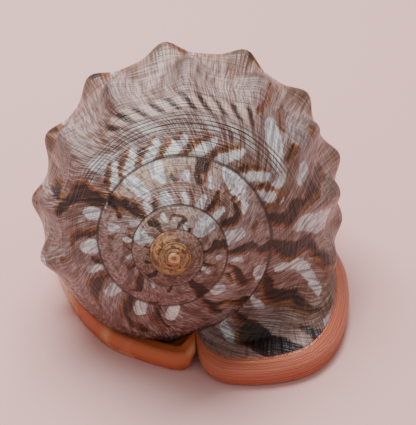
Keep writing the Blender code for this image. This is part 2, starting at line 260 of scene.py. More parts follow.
def plain(angle, row):
    """The surface without knobs; row 0 is the suture, 1 the shoulder and 2 the end of the canal."""
    share = np.clip(row, 0, 1)
    t = side_share(row)
    r0, z0 = suture(angle)
    r1, z1 = shoulder(angle)
    bulge = RAMP_BULGE * np.sin(np.pi * share**0.8)
    r_ramp = r0 + share * (r1 - r0) - bulge * (z1 - z0)
    z_ramp = z0 + share * (z1 - z0) + bulge * (r1 - r0)
    belly = 1.0 + SIDE_BELLY * np.sin(np.pi * np.clip(t / 0.45, 0, 1))
    r_side = r1 * (1.0 - t**2.3) ** 0.74 * belly + CANAL_TUBE * t**3
    z_side = z1 + (-AXIS_LENGTH - z1) * t
    lift = CANAL_LIFT * smoothstep((t - CANAL_START) / (1.0 - CANAL_START))
    return place(angle, np.where(row <= 1, r_ramp, r_side), np.where(row <= 1, z_ramp, z_side), lift)


def outward(angle, row):
    """The plain surface and the direction that points out of it."""
    p = plain(angle, row)
    onward = plain(angle + 0.5, row) - plain(angle - 0.5, row)
    out = np.cross(onward, plain(angle, row + 0.01) - plain(angle, row - 0.01))
    out /= np.maximum(np.linalg.norm(out, axis=-1, keepdims=True), 1e-9)
    axis = place(angle, 0.0 * row, shoulder(angle)[1] - 20.0)
    return p, np.where(((p - axis) * out).sum(-1, keepdims=True) > 0, out, -out)


def below_shoulder(angle, row):
    """The shoulder's radius, the length of the side, and how far below the shoulder a point lies."""
    r1, z1 = shoulder(angle)
    side = AXIS_LENGTH + z1
    return r1, side, np.where(row > 1, side_share(row) * side, (row - 1.0) * (r1 - suture(angle)[0]))


def body(angle, row):
    """The surface with its knobs and its low relief."""
    p, out = outward(angle, row)
    r1, side, down = below_shoulder(angle, row)
    height = -SHOULDER_ROUNDING * np.exp(-((down / 7.0) ** 2)) * smoothstep((angle - 20.0) / 40.0)
    for k, (t, rise, wide) in enumerate(KNOB_ROWS):
        level = down - t * side
        for knob in KNOB_ANGLES:
            off = np.radians(angle - knob - k * KNOB_LAG) * r1
            long = np.where((level < 0) & (k == 0), KNOB_FOLD, 1.0) * wide
            height += rise * np.exp(-((off / wide) ** 2) - (level / long) ** 2)
    # The suture stays where the turn before it ends
    return p + out * (height * smoothstep(row / FOLD_FADE))[..., None]


def bezier(a, b, c, d, u):
    return (1 - u) ** 3 * a + 3 * u * (1 - u) ** 2 * b + 3 * u**2 * (1 - u) * c + u**3 * d


def edge_frame(points, share, turn):
    """Points of an edge, the level direction out of it, and how full it is near the notch."""
    p = along(points, share)
    d = along(points, np.minimum(share + 0.01, 1)) - along(points, np.maximum(share - 0.01, 0))
    n = np.stack([turn * d[:, 1], -turn * d[:, 0], 0 * d[:, 0]], -1)
    n /= np.linalg.norm(n, axis=1, keepdims=True)
    full = (0.15 + 0.85 * smoothstep(share / 0.09))[:, None]
    return p, n, full


def edge_top(points, share, turn, top):
    """The top of an edge, and the way out of it."""
    p, n, full = edge_frame(points, share, turn)
    return p + full * top[0] * n + full * top[1] * UP, n


def row_shares(row):
    """How far round the corner below the notch a row lies, and its shares of the lip and the shield."""
    t = float(side_share(np.array(row)))
    corner = 1.0 - math.exp(-t / CORNER_LENGTH) if row > 1 else 0.0
    ramp = min(row, 1.0)
    lip = SHOULDER_ON_LIP * ramp + (1 - SHOULDER_ON_LIP) * t
    shield = CORNER_ON_SHIELD * corner + (1 - CORNER_ON_SHIELD) * t
    return corner, lip, shield


def last_turn(row):
    """A row of the last turn from the shield's top to the lip's top: points, growth angles and glaze."""
    corner, lip_share, shield_share = row_shares(row)
    angles = NOTCH_ANGLE - 360.0 + COLUMN_STEP * np.arange(TURN_COLUMNS + 1)
    middle = angles[FREE_COLUMNS:TURN_COLUMNS - FREE_COLUMNS + 1]
    start = angles[0] + (CREVICE_ANGLE - angles[0]) * corner
    count = SHIELD_COLUMNS + FREE_COLUMNS
    used = SHIELD_COLUMNS + CREVICE_COLUMNS * corner
    q = np.arange(count)
    top, n = edge_top(SHIELD_EDGE, np.array([shield_share]), -1, SHIELD_TOP)
    foot = body(np.array([start]), np.array([float(row)]))
    reach = np.linalg.norm(foot - top)
    pull = foot - 0.30 * reach * UP + 0.10 * reach * n
    u = np.clip(q / used, 0, 1)[:, None]
    flange = bezier(top, top - 0.45 * reach * n, pull, foot, u)
    if corner == 0.0:
        flange[:] = foot
    left_angle = start + (FREE_LEFT - start) * np.clip((q - used) / (count - used), 0, 1)
    left = np.where((q >= used)[:, None], body(left_angle, np.full(count, float(row))), flange)
    left_glaze = np.where(q >= used, 0.0, 1.0 - u[:, 0] ** 3)

    ramp = min(row, 1.0)
    count = FLARE_COLUMNS + FREE_COLUMNS
    q = np.arange(1, count + 1)
    end = NOTCH_ANGLE + (FLARE_ANGLE - NOTCH_ANGLE) * smoothstep(ramp) ** 0.7
    right_angle = FREE_RIGHT + (end - FREE_RIGHT) * np.minimum(q / FREE_COLUMNS, 1.0)
    weight = (q / count) ** (2.3 + 1.4 * (1 - ramp)) * (row > 0)
    foot = body(right_angle, np.full(count, float(row)))
    right = foot + (edge_top(LIP_EDGE, np.array([lip_share]), 1, LIP_TOP)[0] - foot) * weight[:, None]
    # Past the body the growth angle runs on evenly to the lip
    far = right_angle + np.maximum(q - FREE_COLUMNS, 0) * COLUMN_STEP * 0.6
    points = np.vstack([left, body(middle, np.full(len(middle), float(row))), right])
    growth = np.concatenate([left_angle, middle, far])
    glaze = np.concatenate([left_glaze, np.zeros(len(middle)), smoothstep((weight - 0.72) / 0.28)])
    return points, growth, glaze


# Markings: strokes follow points of growth angle, row and half width in degrees.
TURN_LAST_BROWN = (
    ((15, 0, 2.5), (14, 0.1, 3), (13, 0.2, 3), (9, 0.3, 2.5), (4, 0.42, 1.5)),
    ((40, 0, 3), (38, 0.1, 4), (36, 0.2, 4), (34, 0.3, 3), (28, 0.42, 2.5), (24, 0.5, 3)),
    ((22, 0.42, 2), (18, 0.54, 3)),
    ((66, 0, 2), (65, 0.1, 3.5), (63, 0.2, 4.5), (60, 0.3, 4.5), (54, 0.4, 3), (48, 0.5, 2.5)),
    ((76, 0, 1), (79, 0.06, 2), (81, 0.11, 1.2)),
    ((103, 0, 2), (99, 0.1, 3), (97, 0.2, 3), (94, 0.3, 3), (88, 0.4, 2)),
    ((80, 0.42, 1), (78, 0.56, 1.6)),
    ((127, 0, 2.5), (123, 0.1, 5), (121, 0.2, 5.5), (122, 0.3, 5),
     (118, 0.4, 5), (110, 0.5, 4), (104, 0.57, 2.5)),
    ((110, 0.66, 2.5), (113, 0.8, 3.5), (112, 0.93, 2)),
    ((262, 0, 3.5), (264, 0.1, 4), (268, 0.2, 3), (262, 0.3, 4), (262, 0.42, 2.5)),
    ((256, 0, 1.5), (255, 0.1, 2), (250, 0.2, 1.5)),
    ((239, 0.58, 2.5), (241, 0.45, 2)),
    ((259, 0.63, 3.5), (261, 0.5, 3.5), (263, 0.42, 2)),
    ((256, 0.92, 3), (257, 0.75, 3)),
    ((284, 0.92, 1.5), (283, 0.75, 3), (283, 0.62, 2), (279, 0.5, 3.5),
     (280, 0.35, 3.5), (283, 0.22, 5), (280, 0.1, 4.5), (278, 0, 3)),
    ((296, 0, 2), (301, 0.1, 4), (305, 0.2, 4), (302, 0.35, 3.5),
     (299, 0.5, 3), (300, 0.65, 2.5), (301, 0.9, 2)),
    ((337, 1.12, 5.5), (336, 0.95, 5.5), (332, 0.75, 6.5), (326, 0.55, 8), (323, 0.38, 8), (322, 0.3, 5)),
    ((320.5, 1.2, 3), (320, 1.0, 3.5), (316, 0.8, 3.2), (308, 0.64, 2)),
    ((318, 0.28, 3), (322, 0.12, 2.5), (323, 0, 2)),
    ((71, 0.9, 2.2), (73, 0.8, 1.5)),
    ((218, 0.95, 1.3), (220, 0.8, 1.6), (218, 0.62, 1.3)),
    ((224, 0.98, 0.9), (227, 0.8, 0.9), (231, 0.66, 1.3)),
    ((239, 0.95, 1.2), (241, 0.86, 1.8)),
)
# One row from suture to shoulder counts as this many degrees across a stroke
DEGREES_PER_ROW = 40.0
STROKE_SOFTNESS = 6.0
LAST_CHEVRONS = 1.82
# Ground colours from the newest turn to the tip, and of the back below the shoulder
TURN_COLOURS = ((158, 132, 130), (168, 142, 138), (176, 144, 128), (244, 188, 126))
BACK_COLOUR = (176, 132, 112)
TURN_CHANGES = (-900.0, -380.0, -17.0)
FAR_OUTSIDE = -9.0
HOOK_ANGLES = (131, 144, 159, 174, 190, 206, 225, 240)
TURN_LAST_PALE = (
    ((226, 0.6, 3.5), (230, 0.5, 4), (235, 0.4, 3.5), (240, 0.31, 2.5)),
    ((245, 0.3, 2), (247, 0.18, 3)),
    ((249, 0.6, 3), (252, 0.47, 2)),
    ((271, 0.82, 3), (272, 0.6, 4), (270, 0.4, 3.5), (271, 0.3, 2.5)),
    ((292, 0.78, 2), (288, 0.5, 2.5), (287, 0.35, 2.5), (291, 0.12, 2)),
    ((310, 0.2, 2), (311, 0.05, 2)),
    ((328, 1.14, 4.5), (328, 0.95, 4.5), (323, 0.8, 2.5)),
    ((314, 1.3, 3), (313, 1.05, 4), (307, 0.85, 2.5)),
    ((330, 0.2, 2.5), (331, 0.05, 2.5)),
    ((76, 1.05, 3), (76, 0.93, 2)),
    ((136, 0.33, 3), (138, 0.25, 3.5)),
    ((2, 0.13, 5), (0, 0.04, 5)),
    ((26, 0.14, 4), (28, 0.05, 5)),
    ((52, 0.14, 4), (53, 0.05, 5)),
    ((72, 0.16, 3), (73, 0.07, 2.5)),
    ((87, 0.15, 4), (90, 0.05, 5)),
    ((111, 0.13, 3.5), (114, 0.04, 4)),
)
TURN_TWO_BROWN = (
    ((-302, 0, 3), (-306, 0.1, 4), (-312, 0.2, 5), (-316, 0.35, 5.5), (-318, 0.5, 5), (-316, 0.65, 3)),
    ((-265, 0, 1.5), (-262, 0.1, 2), (-257, 0.2, 1.5)),
    ((-248, 0, 1.5), (-248, 0.06, 1.5)),
    ((-240, 0, 1), (-240, 0.15, 1.2)),
    ((-216, 0, 3), (-217, 0.1, 5), (-219, 0.2, 6), (-219, 0.3, 6),
     (-222, 0.42, 5), (-224, 0.55, 5), (-228, 0.7, 5), (-230, 0.9, 5)),
    ((-233, 0.64, 2.5), (-234, 0.5, 4)),
    ((-259, 0.62, 1.5), (-257, 0.5, 2)),
    ((-201, 0, 2.5), (-198, 0.1, 3.5), (-197, 0.2, 2), (-198, 0.24, 1)),
    ((-168, 0, 1.2), (-171, 0.1, 1.3), (-176, 0.22, 1)),
    ((-155, 0.03, 1.5), (-159, 0.15, 2), (-162, 0.25, 1.5)),
    ((-138, 0, 1.5), (-137, 0.1, 3.5), (-136, 0.25, 3.5), (-139, 0.4, 2.5)),
    ((-117, 0.05, 2.5), (-114, 0.12, 4.5), (-112, 0.25, 4.5), (-114, 0.38, 3.5), (-122, 0.46, 2)),
    ((-134, 0.48, 1.6), (-132, 0.62, 1.2)),
    ((-126, 0.48, 1.6), (-125, 0.68, 1)),
    ((-120, 0.5, 1.3), (-121, 0.64, 1)),
    ((-178, 0.62, 2), (-176, 0.5, 3)),
    ((-160, 0.64, 2.5), (-156, 0.5, 4)),
    ((-157, 0.95, 5), (-157, 0.72, 5)),
    ((-83, 0, 3), (-84, 0.15, 4), (-85, 0.3, 4.5), (-86, 0.45, 3.5),
     (-82, 0.6, 3), (-80, 0.75, 4), (-80, 0.95, 5)),
    ((-100, 0.67, 2), (-98, 0.54, 3)),
    ((-70, 0.03, 2), (-68, 0.15, 3), (-62, 0.28, 3.5), (-58, 0.4, 4), (-57, 0.5, 3.5), (-59, 0.62, 1.5)),
    ((-60, 0.08, 2), (-56, 0.19, 2)),
    ((-44, 1, 4), (-43, 0.8, 3.5), (-41, 0.6, 2.5), (-38, 0.42, 2.5),
     (-31, 0.3, 2.5), (-27, 0.15, 3.5), (-26, 0, 2.5)),
    ((-30, 0.56, 2), (-28, 0.4, 3), (-28, 0.28, 3)),
    ((-340, 0.95, 5), (-344, 0.8, 3)),
    ((-355, 0.0, 3), (-352, 0.18, 3)),
    ((-286, 0.02, 3), (-290, 0.2, 3)),
)
TURN_TWO_PALE = (
    ((-212, 0.92, 4), (-209, 0.7, 5.5), (-206, 0.5, 5), (-203, 0.34, 4)),
    ((-190, 0.92, 5), (-190, 0.7, 5), (-186, 0.5, 3)),
    ((-135, 0.9, 9), (-130, 0.76, 8), (-118, 0.6, 2)),
    ((-254, 0.15, 3), (-252, 0.05, 3)),
    ((-232, 0.14, 3.5), (-226, 0.03, 2)),
    ((-208, 0.2, 3), (-208, 0.06, 4)),
    ((-187, 0.18, 5), (-185, 0.05, 7)),
    ((-168, 0.2, 2), (-163, 0.06, 3)),
    ((-148, 0.2, 3), (-148, 0.05, 5)),
    ((-127, 0.2, 3), (-127, 0.06, 4)),
    ((-99, 0.25, 5), (-99, 0.06, 8)),
    ((-76, 0.22, 2.5), (-76, 0.05, 2)),
    ((-46, 0.12, 4), (-43, 0.03, 6)),
    ((-149, 0.62, 2), (-146, 0.45, 2)),
    ((-116, 0.62, 3), (-113, 0.5, 2)),
    ((-168, 0.62, 2.5), (-167, 0.5, 2.5)),
    ((-63, 0.9, 6), (-66, 0.7, 4)),
    ((-250, 0.58, 4), (-246, 0.4, 3)),
    ((-276, 0.1, 3), (-274, 0.02, 3)),
    ((-330, 0.1, 3), (-328, 0.02, 4)),
)
TURN_THREE_BROWN = (
    ((-672, 0, 4), (-672, 0.1, 5), (-673, 0.25, 6), (-675, 0.4, 6), (-670, 0.7, 5)),
    ((-647, 0, 2.5), (-644, 0.12, 3.5), (-642, 0.25, 4)),
    ((-626, 0, 1), (-626, 0.2, 1.5)),
    ((-608, 0, 2), (-610, 0.12, 2), (-611, 0.28, 1.5)),
    ((-562, 0, 3.5), (-563, 0.1, 4), (-564, 0.25, 4), (-566, 0.45, 7), (-571, 0.6, 7), (-573, 0.75, 5)),
    ((-544, 0.3, 1.5), (-543, 0.45, 1.5), (-540, 0.56, 2), (-533, 0.57, 2.5),
     (-524, 0.5, 3), (-519, 0.38, 3.5), (-527, 0.2, 3.5), (-528, 0.05, 3)),
    ((-505, 0, 2), (-505, 0.12, 2.5), (-502, 0.22, 1.5)),
    ((-482, 0, 1.5), (-480, 0.1, 1.5)),
    ((-452, 0, 3), (-451, 0.15, 5), (-453, 0.3, 5), (-458, 0.5, 7), (-455, 0.7, 6), (-453, 1, 6)),
    ((-430, 0, 2.5), (-428, 0.15, 2.5), (-428, 0.35, 2.5), (-430, 0.5, 2)),
    ((-413, 0, 1.5), (-411, 0.1, 1.5)),
    ((-387, 0, 5), (-389, 0.2, 6), (-391, 0.5, 7), (-390, 1, 8)),
)
TURN_THREE_PALE = (
    ((-595, 0.14, 7), (-593, 0.04, 8)),
    ((-600, 0.75, 12), (-600, 0.5, 12)),
    ((-553, 0.66, 4), (-550, 0.4, 3)),
    ((-536, 0.44, 3), (-536, 0.38, 3)),
    ((-515, 0.2, 5), (-515, 0.06, 5)),
    ((-490, 0.8, 12), (-490, 0.3, 12), (-486, 0.2, 7)),
    ((-440, 0.65, 3), (-440, 0.5, 3)),
    ((-418, 0.3, 4), (-420, 0.05, 4)),
)
# Washes of ground colour, the first of them painted shade where the last turn faces down: angle, row, spread
# in degrees and rows, colour and strength
COLOUR_AND_SHADE_WASHES = (
    (8, 0.9, 26, 0.42, (70, 46, 42), 0.96), (50, 0.85, 26, 0.4, (128, 84, 74), 0.85),
    (-14, 0.9, 8, 0.4, (190, 105, 72), 0.6), (40, 0.3, 60, 0.3, (140, 114, 112), 0.7),
    (95, 0.75, 22, 0.4, (142, 108, 98), 0.7), (118, 0.75, 12, 0.4, (112, 74, 58), 0.7),
    (185, 0.9, 58, 0.3, (188, 156, 150), 0.9), (150, 0.55, 14, 0.2, (128, 92, 72), 0.8),
    (205, 0.55, 20, 0.12, (140, 106, 88), 0.7), (195, 0.08, 62, 0.16, (132, 92, 66), 0.85),
    (185, 0.32, 66, 0.14, (120, 92, 80), 0.85), (250, 0.3, 16, 0.3, (136, 98, 70), 0.7),
    (245, 0.75, 18, 0.2, (168, 152, 156), 0.8), (275, 0.9, 22, 0.4, (172, 138, 122), 0.7),
    (300, 0.8, 12, 0.5, (136, 86, 52), 0.8), (290, 0.1, 20, 0.2, (128, 88, 66), 0.6),
    (343, 0.5, 8, 0.8, (176, 128, 112), 0.8), (-345, 0.6, 34, 0.6, (150, 108, 100), 0.85),
    (-285, 0.6, 30, 0.5, (158, 126, 122), 0.8), (-190, 0.8, 40, 0.3, (200, 176, 150), 0.7),
    (-160, 0.34, 50, 0.09, (134, 100, 84), 0.8), (-75, 0.8, 26, 0.4, (148, 108, 96), 0.7),
    (-25, 0.6, 20, 0.6, (150, 122, 116), 0.7), (-725, 0.5, 40, 0.8, (150, 100, 86), 0.9),
    (-660, 0.5, 30, 0.7, (138, 84, 64), 0.7), (-590, 0.6, 60, 0.6, (180, 154, 144), 0.6),
    (-500, 0.5, 50, 0.7, (190, 174, 168), 0.6), (-405, 0.6, 20, 0.7, (148, 106, 96), 0.8),
)


def paint(red, green, blue):
    """Linear light from the usual 0 to 255 numbers."""
    return np.array([((c / 255.0 + 0.055) / 1.055) ** 2.4 for c in (red, green, blue)])


def stroke_field(strokes, angle, row, shift=0.0, thinner=0.0):
    """How far inside the nearest stroke a point lies, as 0.5 at its edge and 1 well inside."""
    best = np.full(angle.shape, FAR_OUTSIDE)
    x, y = angle + shift, row * DEGREES_PER_ROW
    for points in strokes:
        for (a0, v0, w0), (a1, v1, w1) in zip(points, points[1:]):
            y0 = v0 * DEGREES_PER_ROW
            dx, dy = a1 - a0, (v1 - v0) * DEGREES_PER_ROW
            t = np.clip(((x - a0) * dx + (y - y0) * dy) / (dx * dx + dy * dy + 1e-9), 0, 1)
            inside = w0 + t * (w1 - w0) - thinner - np.hypot(x - a0 - t * dx, y - y0 - t * dy)
            best = np.maximum(best, inside)
    return np.clip(0.5 + best / STROKE_SOFTNESS, 0, 1)


def arc(angle, row):
    """Length along the suture in decimetres, leaning back with the growth lines above it."""
    lean = 15.0 * np.sin(np.clip(row / 0.55, 0, 1) * np.pi / 2) + 14.0 * np.clip(row - 0.3, 0, 0.5)
    return suture(angle + lean)[0] / SUTURE_GROWTH / 100.0


def hooks_and_petals():
    """The row of thin brown hooks along the suture, with a pale petal in each."""
    hooks = tuple(
        ((c, 0, 1.0), (c + 2, 0.07, 1.5), (c + 7, 0.14, 1.5), (c + 13, 0.2, 1.1)) for c in HOOK_ANGLES
    )
    petals = tuple(((c + 5, 0.03, 3.2), (c + 9.5, 0.1, 3.8), (c + 14, 0.15, 2.6)) for c in HOOK_ANGLES)
    return hooks, petals


def side_strokes():
    """Streaks and chevrons down the back, between the knobs."""
    brown, pale = [], []
    levels = [1.0 + t ** (1 / 1.2) for t, _, _ in KNOB_ROWS[1:]] + [LAST_CHEVRONS]
    for k, v in enumerate(levels, 1):
        for n, knob in enumerate(KNOB_ANGLES):
            a = knob + min(k, 3) * KNOB_LAG
            grow = math.sin(2.3 * n + 1.7 * k)
            brown.append(((a + 6, v - 0.04, 1.5), (a + 3, v + 0.04, 3.4 + grow), (a - 3, v + 0.09, 1.8)))
            brown.append(((a + 12, v - 0.02, 0.9), (a + 15, v + 0.07, 2.2 + grow), (a + 12, v + 0.16, 1.2)))
            pale.append(((a + 9, v - 0.02, 1.8), (a + 10, v + 0.06, 3.0 - grow), (a + 8, v + 0.13, 1.6)))
    return tuple(brown), tuple(pale)


def knob_side_shade(angle, row):
    """How much a point lies in the painted shade on one side of a knob."""
    caps = np.zeros(angle.shape)
    r1, side, down = below_shoulder(angle, row)
    for k, (t, _, wide) in enumerate(KNOB_ROWS):
        level = down - t * side
        for knob in KNOB_ANGLES:
            off = np.radians(angle - knob - k * KNOB_LAG + 3.0) * r1
            long = np.where(level < 0, 1.5, 1.0) * wide * 0.8
            caps = np.maximum(caps, np.exp(-((off / (0.62 * wide)) ** 2) - (level / long) ** 2))
    return caps


def marks(angle, row):
    """Ground colour with a wash of painted shade, and the fields of brown, dark and pale marks and of painted
    shade on the knobs, for growth angles and rows.
    """
    hooks, petals = hooks_and_petals()
    side_brown, side_pale = side_strokes()
    brown_strokes = TURN_LAST_BROWN + TURN_TWO_BROWN + TURN_THREE_BROWN + hooks + side_brown
    pale_strokes = TURN_LAST_PALE + TURN_TWO_PALE + TURN_THREE_PALE + petals + side_pale
    brown = stroke_field(brown_strokes, angle, row)
    dark = stroke_field(brown_strokes, angle, row, 1.0, 0.8)
    pale = stroke_field(pale_strokes, angle, row)
    ground = np.empty((*angle.shape, 4))
    last, second, third, inner = (paint(*tint) for tint in TURN_COLOURS)
    on = [smoothstep((angle - edge) / 60.0 + 0.5)[..., None] for edge in TURN_CHANGES]
    colour = inner * (1 - on[0]) + third * on[0]
    colour = colour * (1 - on[1]) + second * on[1]
    colour = colour * (1 - on[2]) + last * on[2]
    for a, v, spread, rows, tint, strength in COLOUR_AND_SHADE_WASHES:
        w = strength * np.exp(-(((angle - a) / spread) ** 2) - ((row - v) / rows) ** 2)[..., None]
        colour = colour * (1 - w) + paint(*tint) * w
    back = smoothstep((row - 1.0) / 0.25)[..., None] * 0.85
    colour = colour * (1 - back) + paint(*BACK_COLOUR) * back
    ground[..., :3] = colour
    ground[..., 3] = 1.0
    band = smoothstep((angle - 118) / 14) * smoothstep((252 - angle) / 14)
    hatch = band * smoothstep((row - 0.2) / 0.03) * smoothstep((0.43 - row) / 0.03)
    slugs = smoothstep((angle - 146) / 8) * smoothstep((222 - angle) / 6)
    slugs = slugs * smoothstep((row - 0.42) / 0.05) * smoothstep((0.64 - row) / 0.05)
    fields = np.stack([brown, dark, pale, knob_side_shade(angle, row)], -1)
    bands = np.stack([hatch, slugs, smoothstep((-760 - angle) / 60.0), np.ones_like(pale)], -1)
    return ground, fields, bands


def layers_for(angle, row, glaze, lip):
    """All layers of a sheet of the outside."""
    ground, fields, bands = marks(angle, row)
    growth = np.stack([arc(angle, row), row], -1)
    place_uv = np.stack([glaze, lip], -1)
    return {"growth": growth, "place": place_uv, "ground": ground, "fields": fields, "bands": bands}


def set_layer(mesh, name, values):
    """A UV map or a colour attribute from two or four numbers for each vertex."""
    corners = np.empty(len(mesh.loops), dtype=np.int32)
    mesh.loops.foreach_get("vertex_index", corners)
    values = np.asarray(values, np.float32)[corners].ravel()
    if name in ("growth", "place"):
        layer = mesh.uv_layers.new(name=name)
        layer.data.foreach_set("uv", values)
    else:
        layer = mesh.color_attributes.new(name=name, type="FLOAT_COLOR", domain="CORNER")
        layer.data.foreach_set("color", values)


def sheet(name, points, layers):
    """A grid primitive whose vertices are laid on rows of points."""
    rows, columns = points.shape[:2]
    bpy.ops.object.select_all(action="DESELECT")
    bpy.ops.mesh.primitive_grid_add(x_subdivisions=columns - 1, y_subdivisions=rows - 1, size=1.0)
    piece = bpy.context.object
    piece.name = name
    mesh = piece.data
    while mesh.uv_layers:
        mesh.uv_layers.remove(mesh.uv_layers[0])
    co = np.empty(len(mesh.vertices) * 3)
    mesh.vertices.foreach_get("co", co)
    co = co.reshape(-1, 3)
    i = np.rint((co[:, 0] + 0.5) * (columns - 1)).astype(int)
    j = np.rint((co[:, 1] + 0.5) * (rows - 1)).astype(int)
    mesh.vertices.foreach_set("co", ((points[j, i] + TO_ORIGIN) * MM).ravel())
    for layer, values in layers.items():
        set_layer(mesh, layer, values[j, i])
    return piece


def blended(steps, at):
    """A smooth mixture of the steps of a table, at a fractional step."""
    return [float(through(list(enumerate(column)), at)) for column in zip(*steps)]


def underside(turn_rows):
    """Rings from the outer boundary round the edges, over the face and the teeth and into the hollow."""
    lip_count = RAMP_ROWS + SIDE_ROWS
    lip_share = np.array([row_shares(row)[1] for row in turn_rows])
    shield_share = np.array([row_shares(row)[2] for row in turn_rows[RAMP_ROWS:]])
    turns = [last_turn(row)[0] for row in turn_rows]
    boundary_lip = np.array([turn[-1] for turn in turns])
    boundary_canal = turns[-1][::-1]
    boundary_shield = np.array([turn[0] for turn in turns[RAMP_ROWS:]])
    canal_count = len(boundary_canal) - 1
    count = lip_count + canal_count + SIDE_ROWS
    index = np.arange(count + 1)
    on_lip = index <= lip_count
    notch = np.array(NOTCH_TIP)

    def ring(k, tau, relief=1.0):
        """The ring at step k, at loop positions tau given as fractional indices."""
        relief = relief * float(smoothstep((k - RIDGE_START) / RIDGE_SPAN))
        lip_step, shield_step = (blended(((*top, 0.0, 0.0), *EDGE_STEPS), k) for top in (LIP_TOP, SHIELD_TOP))
        even = smoothstep((k - EVEN_START) / EVEN_SPAN)
        i = np.clip(tau / lip_count, 0, 1)
        s_lip = (1 - even) * np.interp(i * lip_count, np.arange(lip_count + 1), lip_share) + even * i
        i = np.clip((count - tau) / SIDE_ROWS, 0, 1)
        s_shield = (1 - even) * np.interp(i * SIDE_ROWS, np.arange(SIDE_ROWS + 1), shield_share) + even * i
        c = np.clip((tau - lip_count) / canal_count, 0, 1)
        faces, ridges = [], []
        for edge, line, share, turn, step, (number, inward, down) in (
            (LIP_EDGE, TEETH_LINE, s_lip, 1, lip_step, TEETH),
            (SHIELD_EDGE, FOLD_LINE, s_shield, -1, shield_step, FOLDS),
        ):
            out, height, weight, sink = step
            p, n, full = edge_frame(edge, share, turn)
            p = p + full * out * n + full * height * UP
            q = p * (1 - weight) + along(line, share) * weight
            q[:, 2] *= 1 - np.clip(sink, 0, 1) * smoothstep(share / 0.12) * smoothstep((1 - share) / 0.25)
            fade = smoothstep(4 * np.sin(np.pi * np.clip(share, 0, 1)))
            wave = np.sin(2 * np.pi * number * share) * fade * relief
            rise = np.clip(wave + 0.25 * relief, 0, 1)
            q[:, 0] -= turn * inward * rise
            q[:, 2] = np.maximum(q[:, 2] - down * rise, np.minimum(q[:, 2], TABLE_GAP))
            ridges.append(wave)
            near = np.exp(-((share / NOTCH_REACH) ** 2))[:, None]
            q = q * (1 - near) + (notch + k * NOTCH_STEP) * near
            faces.append(q)
        depth = np.clip(k / MOUTH_STEP, 0, 1)
        inner = place(CANAL_ARC[0] + CANAL_ARC[1] * c, CANAL_BORE, -AXIS_LENGTH + 0.5, CANAL_BORE_LIFT)
        at = np.arange(canal_count + 1)
        outer = np.stack([np.interp(c * canal_count, at, boundary_canal[:, x]) for x in range(3)], -1)
        canal = outer * (1 - depth) + inner * depth
        last = np.argmax(tau >= lip_count)
        first = np.argmax(tau >= lip_count + canal_count)
        pull_lip = faces[0][min(last, count)] - canal[min(last, count)]
        pull_shield = faces[1][first] - canal[first]
        canal = canal + pull_lip * ((1 - c) ** 5)[:, None] + pull_shield * (c**5)[:, None]
        lip_side, shield_side = tau <= lip_count, tau >= lip_count + canal_count
        ridge = np.where(lip_side, ridges[0], np.where(shield_side, ridges[1], 0.0))
        points = np.where(lip_side[:, None], faces[0], np.where(shield_side[:, None], faces[1], canal))
        return points, s_lip, s_shield, ridge

    tau = index.astype(float)
    rings = [np.vstack([boundary_lip, boundary_canal[1:-1], boundary_shield[::-1]])]
    ridges = [0.0 * tau]
    for k in EDGE_RINGS:
        p, _, _, ridge = ring(k, tau)
        rings.append(p)
        ridges.append(ridge)
    slot_rings = len(rings)

    # The hollow; its points slide along the loop until both sides face each other
    half = count / 2.0
    pos = np.minimum(index, count - index) / half
    beyond = 0.5 * canal_count * (pos - FACING_SHARE) / (1 - FACING_SHARE)
    lip_tau = np.where(pos < FACING_SHARE, pos / FACING_SHARE * lip_count, lip_count + beyond)
    far = np.where(pos < FACING_SHARE, pos / FACING_SHARE * SIDE_ROWS, SIDE_ROWS + beyond)
    target = np.where(index <= half, lip_tau, count - far)
    for h in CAVITY_RINGS:
        slide = smoothstep((h - SLIDE_START) / SLIDE_SPAN)
        t = (1 - slide) * tau + slide * target
        p, s_lip, s_shield, ridge = ring(MOUTH_STEP, t, float(1 - smoothstep(h / RIDGE_FADE)))
        lip_side, shield_side = t <= lip_count, t >= lip_count + canal_count
        s = np.where(lip_side, s_lip, np.where(shield_side, s_shield, 1.0))
        side = np.where(lip_side, 1.0, np.where(shield_side, -1.0, 0.0))
        swell = np.clip(np.sin(np.pi * s), 0, 1) ** 0.9
        wide, high, base = blended(((0.0, 0.0, 0.0), *HOLLOW_RINGS), h)
        p[:, 0] += side * wide * swell
        p[:, 2] += base + high * swell
        p[:, 1] = HOLLOW_CENTRE + (p[:, 1] - HOLLOW_CENTRE) * (1 - HOLLOW_NARROWING * h)
        rings.append(p)
        ridges.append(ridge)
    roof = rings[-1]
    across = (roof + roof[::-1]) / 2
    for w in ROOF_RINGS:
        p = roof * (1 - w) + across * w
        rings.append(p)
        ridges.append(0.0 * tau)
    return np.array(rings), np.array(ridges), slot_rings, on_lip


